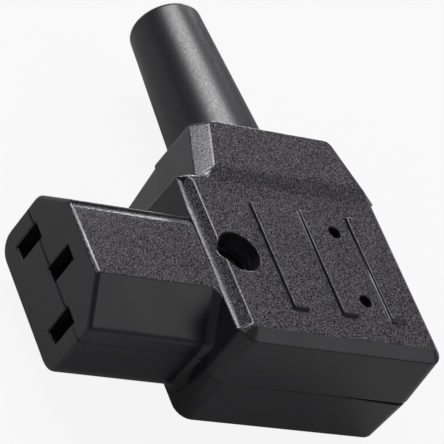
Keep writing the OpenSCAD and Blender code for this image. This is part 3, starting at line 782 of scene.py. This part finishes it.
# %% Turn the sleeve
# radii and lengths in mm, then the number of steps along the taper and in a quarter of a circle
SLEEVE_R, SLEEVE_END_R, BORE_R, LIP_R = 6.85, 5.4, 4.1, 0.9
FLANGE_T, NECK, BORE_EDGE = 2.4, 2.3, 0.15
TAPER_STEPS, QUARTER_STEPS = 7, 8
flange_y = drawn(Vector(sleeve_low)).y
end_y = drawn(Vector(sleeve_high)).y
flange_r = (sleeve_high[0] - sleeve_low[0]) / 2 / MM
neck_y = flange_y + FLANGE_T
collar_y = neck_y + NECK
lip_y = end_y - LIP_R
stations = [(flange_y, BORE_R), (flange_y, flange_r), (neck_y, flange_r), (neck_y, SLEEVE_R),
            (collar_y, SLEEVE_R)]
for i in range(1, TAPER_STEPS):
    share = i / TAPER_STEPS
    stations.append((collar_y + share * (lip_y - collar_y), SLEEVE_R + share * (SLEEVE_END_R - SLEEVE_R)))
for i in range(QUARTER_STEPS + 1):
    a = math.radians(90 * i / QUARTER_STEPS)
    stations.append((lip_y + LIP_R * math.sin(a), SLEEVE_END_R - LIP_R + LIP_R * math.cos(a)))
stations += [(end_y, BORE_R + BORE_EDGE), (end_y - BORE_EDGE, BORE_R)]
sleeve = turned("sleeve_skin", "Y", (CORD_X, 0, 0), stations, 96)
close_up(sleeve, "bridge")
bpy.ops.object.shade_smooth_by_angle(angle=math.radians(35))
sleeve.data.materials.append(soft_pvc)
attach(sleeve, "root")
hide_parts("bend_relief_sleeve")
print("sleeve from", round(flange_y, 1), "to", round(end_y, 1), "mm,", len(sleeve.data.polygons), "faces")

# %% [markdown]
# ## The cover screw
# One machine screw holds the shells together. At the bottom of its counterbore only the pan head shows,
# with a cross recess that glints. The screw is turned like the sleeve, with a ridge at every half
# millimetre for its thread. The cross is cut by a boolean from two crossed blades that taper as a driver
# does.

# %% Turn the screw and cut its cross
screw_low, screw_high = (drawn(Vector(corner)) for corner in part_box("cover_screw"))
screw_mid = (screw_low + screw_high) / 2
head_r = (screw_high.x - screw_low.x) / 2
# height of the head, crest and root of an M3 thread, its pitch and the taper at its tip, in mm
HEAD_H, CREST_R, ROOT_R, PITCH, TIP_L = 2.0, 1.5, 1.25, 0.5, 0.3
# the broken edge under the head, and the share of the head's side that is straight
HEAD_EDGE, STRAIGHT = 0.1, 0.3
head_z = screw_high.z - HEAD_H
stations = [(screw_low.z, ROOT_R * 0.8)]
z = screw_low.z + TIP_L
while z < head_z - PITCH:
    stations += [(z, ROOT_R), (z + PITCH * 0.45, CREST_R), (z + PITCH * 0.55, CREST_R)]
    z += PITCH
side_h = HEAD_H * STRAIGHT
pan_r = HEAD_H - side_h
stations += [(head_z, ROOT_R), (head_z, head_r - HEAD_EDGE), (head_z + HEAD_EDGE, head_r),
             (head_z + side_h, head_r)]
for i in range(1, QUARTER_STEPS + 1):
    a = math.radians(90 * i / QUARTER_STEPS)
    stations.append((head_z + side_h + pan_r * math.sin(a), head_r - pan_r * (1 - math.cos(a))))
screw = turned("cover_screw_skin", "Z", (screw_mid.x, screw_mid.y, 0), stations, 48)
close_up(screw, "flat")
print("screw turned from", len(stations), "radii")

# %% [markdown]
# ## The cross recess
# Each slot narrows downwards, as a driver's blade does. Its cutter is a cube that is shrunk at its lower
# end, and it is made twice, the second time a quarter turn round.

# %% Cut the cross recess
# the cutter's thickness at its upper end, its height, the share of its width that is left at its lower end,
# its turn in degrees, and how far its middle lies below the top of the head
BLADE_T, BLADE_H, BLADE_SHARE, BLADE_TURN = 0.75, 2.2, 0.45, 20
BLADE_SINK = 0.1
blade_mid = Vector((screw_mid.x, screw_mid.y, screw_high.z - BLADE_SINK))
cutters = []
for quarter in (0, 1):
    bpy.ops.object.select_all(action="DESELECT")
    bpy.ops.mesh.primitive_cube_add(size=1, location=at(*blade_mid),
                                    rotation=(0, 0, math.radians(BLADE_TURN + 90 * quarter)))
    blade = bpy.context.object
    blade.scale = (head_r * 1.15 * MM, BLADE_T * MM, BLADE_H * MM)
    bpy.ops.object.transform_apply(location=True, rotation=True, scale=True)
    bpy.ops.object.mode_set(mode="EDIT")
    bpy.ops.mesh.select_mode(type="VERT")
    bpy.ops.mesh.select_all(action="DESELECT")
    shape = bmesh.from_edit_mesh(blade.data)
    for vertex in shape.verts:
        vertex.select_set(drawn(vertex.co).z < blade_mid.z)
    bmesh.update_edit_mesh(blade.data)
    bpy.ops.transform.resize(value=(BLADE_SHARE, BLADE_SHARE, 1), center_override=at(*blade_mid))
    bpy.ops.object.mode_set(mode="OBJECT")
    cutters.append(blade)
for blade in cutters:
    only(screw)
    bpy.ops.object.modifier_add(type="BOOLEAN")
    screw.modifiers[-1].object = blade
    screw.modifiers[-1].operation = "DIFFERENCE"
    bpy.ops.object.modifier_apply(modifier=screw.modifiers[-1].name)
    only(blade)
    bpy.ops.object.delete()
only(screw)
bpy.ops.object.shade_smooth_by_angle(angle=math.radians(35))
screw.data.materials.clear()
screw.data.materials.append(zinc_steel)
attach(screw, "root")
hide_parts("cover_screw")
print("screw", round(screw_high.z - screw_low.z, 1), "mm long,", len(screw.data.polygons), "faces")

# %% [markdown]
# ## The floor
# The connector lies on matt white card. To the camera the card is nearly its full white, so that the
# outline reads cleanly, but a share of real light is left in it, and that share carries the soft shadow.
# Mirror-like surfaces see a little of the same white.

# %% Floor
FLOOR_TO_CAMERA = 0.9
FLOOR_TO_GLOSS = 0.1
bpy.ops.object.select_all(action="DESELECT")
bpy.ops.mesh.primitive_plane_add(size=6, location=(0, 0, cad_box[0][2]))
floor = bpy.context.object
floor.name = "floor"
card, tree, shader = new_material("matt white card")
# the fibres of the card lie in clouds about 2 mm across
CLOUD = 2 * MM
place = add(tree, "ShaderNodeTexCoord")
fibre = add(tree, "ShaderNodeTexNoise", {}, {"Vector": place.outputs["Object"], "Scale": 1 / CLOUD})
paper = add(tree, "ShaderNodeValToRGB", {}, {"Fac": fibre.outputs["Fac"]})
paper.color_ramp.elements[0].color = linear("#a8a8a8")
paper.color_ramp.elements[1].color = linear("#aeaeae")
tree.links.new(paper.outputs["Color"], shader.inputs["Base Color"])
shader.inputs["Roughness"].default_value = 0.9
path = add(tree, "ShaderNodeLightPath")
mirrored = add(tree, "ShaderNodeMath", {"operation": "MAXIMUM"},
               {0: path.outputs["Is Glossy Ray"], 1: path.outputs["Is Transmission Ray"]})
faint = add(tree, "ShaderNodeMath", {"operation": "MULTIPLY"},
            {0: mirrored.outputs["Value"], 1: FLOOR_TO_GLOSS})
seen = add(tree, "ShaderNodeMath", {"operation": "MULTIPLY"},
           {0: path.outputs["Is Camera Ray"], 1: FLOOR_TO_CAMERA})
share = add(tree, "ShaderNodeMath", {"operation": "MAXIMUM"},
            {0: seen.outputs["Value"], 1: faint.outputs["Value"]})
white = add(tree, "ShaderNodeEmission", {}, {"Color": (1, 1, 1, 1), "Strength": 1.0})
mixed = add(tree, "ShaderNodeMixShader", {},
            {0: share.outputs["Value"], 1: shader.outputs["BSDF"], 2: white.outputs["Emission"]})
tree.links.new(mixed.outputs["Shader"], tree.nodes["Material Output"].inputs["Surface"])
floor.data.materials.append(card)
print("floor at", cad_box[0][2], "m")

# %% [markdown]
# ## The light
# A wide softbox stands behind the connector and above it, so the sleeve and the collar's bevel carry its
# reflection while the covers stay dark, and the grain sparkles. A small low lamp further behind draws the
# bright lines along the shoulder and the far margin of the nose. A large weak one opposite keeps the walls
# of the open side from going black, and a dim white world fills the rest.

# %% World and lamps
world = bpy.data.worlds.new("studio")
world.use_nodes = True
world.node_tree.nodes["Background"].inputs["Color"].default_value = linear("#f5f2fa")
world.node_tree.nodes["Background"].inputs["Strength"].default_value = 0.17
bpy.context.scene.world = world
MIDDLE = Vector((0, 0, 0.01))


def lamp(name, place, size, watts):
    """A rectangular softbox at a place, turned to the connector's middle; sizes in metres."""
    data = bpy.data.lights.new(name, "AREA")
    data.shape = "RECTANGLE"
    data.size, data.size_y = size
    data.energy = watts
    box = bpy.data.objects.new(name, data)
    box.location = place
    box.rotation_mode = "QUATERNION"
    box.rotation_quaternion = (MIDDLE - Vector(place)).to_track_quat("-Z", "Y")
    bpy.context.scene.collection.objects.link(box)
    print(name, watts, "W at", round((Vector(place) - MIDDLE).length, 2), "m")


lamp("wide softbox", (-0.045, 0.39, 0.46), (0.38, 0.20), 3.55)
lamp("low back lamp", (0.475, 0.65, 0.125), (0.14, 0.14), 1.0)
lamp("side fill", (0.45, -0.34, 0.44), (0.5, 0.5), 0.65)

# %% [markdown]
# ## Colour handling
# The colours are shown as they are, without a film curve.

# %% Colour handling
bpy.context.scene.view_settings.view_transform = "Standard"
